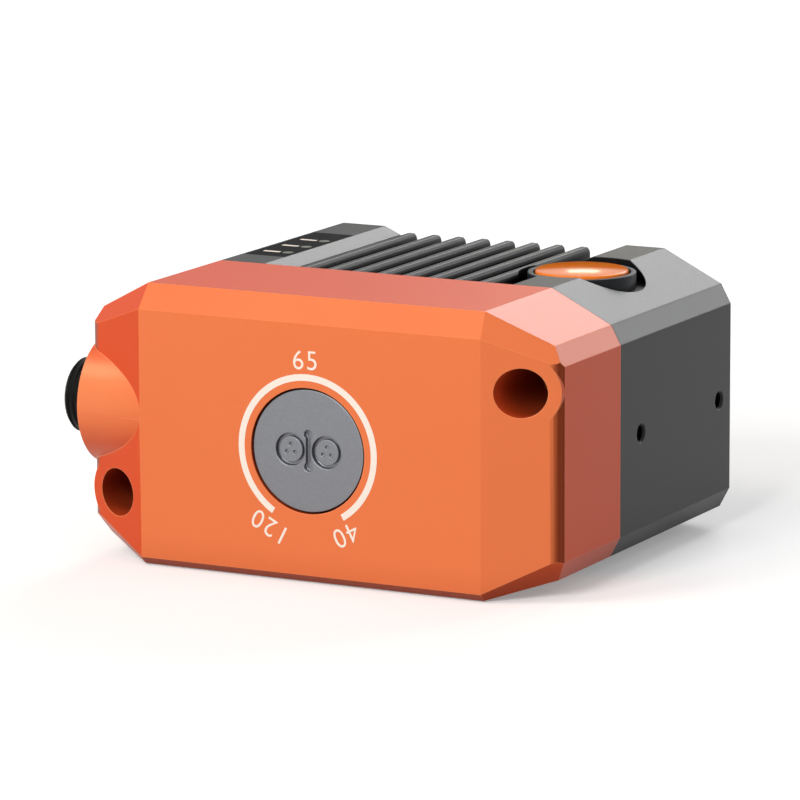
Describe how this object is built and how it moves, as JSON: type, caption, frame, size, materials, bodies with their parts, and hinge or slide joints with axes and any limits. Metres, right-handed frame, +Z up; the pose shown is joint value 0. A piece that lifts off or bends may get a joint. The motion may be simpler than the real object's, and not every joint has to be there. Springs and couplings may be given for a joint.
{
  "type": "machine vision camera",
  "caption": "Compact machine vision camera with an orange faceted front cover, finned grey housing, focus dial, trigger button, round connector and a lens window underneath.",
  "frame": {"origin": "middle of the base of the whole bounding box, connector included, so the body's own centre plane is 2.65 mm towards +X", "axes": "+Z up, away from the window; -Y towards the focus dial face; -X towards the round connector"},
  "size_m": [0.0882, 0.068, 0.045],
  "materials": {
    "orange_coat": "fine satin orange coat on die-cast aluminium",
    "graphite_coat": "satin dark grey coat on machined aluminium",
    "black_rubber": "matte nitrile rubber",
    "black_steel": "black oxide steel",
    "satin_aluminium": "satin turned aluminium",
    "bright_steel": "bright turned steel",
    "brass": "turned brass",
    "black_anodised": "black anodised aluminium",
    "lens_glass": "coated optical glass",
    "clear_window": "flat hard-coated acrylic window",
    "board_laminate": "solder-masked glass-epoxy laminate",
    "led_package": "white lamp package with a pale lens",
    "ceramic_package": "dark ceramic chip package",
    "black_plastic": "black moulded plastic",
    "grey_silicone": "soft grey heat-conducting silicone",
    "clear_plastic": "clear moulded acrylic",
    "gloss_black": "gloss black film panel",
    "amber_film": "amber polyimide film",
    "orange_button": "glossy translucent orange moulding",
    "gold_contact": "gold-plated contact"
  },
  "bodies": {
    "camera": {"front_cover": "orange_coat", "main_housing": "graphite_coat", "cover_gasket": "black_rubber", "cover_screws": "black_steel", "dial_bush": "brass", "guide_rods": "bright_steel", "optics_frame": "black_anodised", "led_board": "board_laminate", "illumination_leds": "led_package", "led_board_screws": "bright_steel", "sensor_board": "board_laminate", "image_sensor": "ceramic_package", "sensor_glass": "lens_glass", "sensor_spacers": "brass", "board_link": "black_plastic", "processor_board": "board_laminate", "board_posts": "brass", "board_screws": "bright_steel", "processor_chip": "black_plastic", "thermal_pad": "grey_silicone", "memory_chips": "black_plastic", "indicator_leds": "led_package", "light_pipes": "clear_plastic", "indicator_panel": "gloss_black", "led_strap": "amber_film", "window_frame": "black_anodised", "optical_window": "clear_window", "window_gasket": "black_rubber", "window_screws": "black_steel", "button_bezel": "black_anodised", "button_seal": "black_rubber", "button_spring": "bright_steel", "tact_switch": "black_plastic", "connector_shell": "black_anodised", "connector_insert": "black_plastic", "connector_pins": "gold_contact", "connector_seal": "black_rubber", "connector_board": "board_laminate", "connector_plug": "black_plastic", "connector_strap": "amber_film"},
    "focus_dial": {"focus_dial": "satin_aluminium", "dial_screws": "bright_steel", "dial_shaft": "bright_steel", "dial_seal": "black_rubber", "dial_clip": "bright_steel", "focus_pinion": "brass"},
    "lens_carriage": {"lens_carrier": "black_anodised", "lens_barrel": "black_anodised", "front_lens": "lens_glass", "rear_lens": "lens_glass", "lens_retainers": "black_anodised"},
    "trigger_button": {"trigger_button": "orange_button"}
  },
  "joints": [
    {"name": "dial_turn", "type": "hinge", "parent": "camera", "child": "focus_dial", "pos_m": [0.00265, -0.033, 0.021], "axis": [0, -1, 0], "range_deg": [-150, 150]},
    {"name": "lens_focus", "type": "slide", "parent": "camera", "child": "lens_carriage", "axis": [0, 0, 1], "range_m": [-0.00393, 0.00393]},
    {"name": "button_press", "type": "slide", "parent": "camera", "child": "trigger_button", "axis": [0, 0, -1], "range_m": [0, 0.0006], "stiffness_N_per_m": 800, "springref_m": -0.0008, "deforming": ["button_spring"]}
  ],
  "couplings": [
    {"joint": "dial_turn", "follows": "lens_focus", "rad_per_m": 666.67}
  ]
}
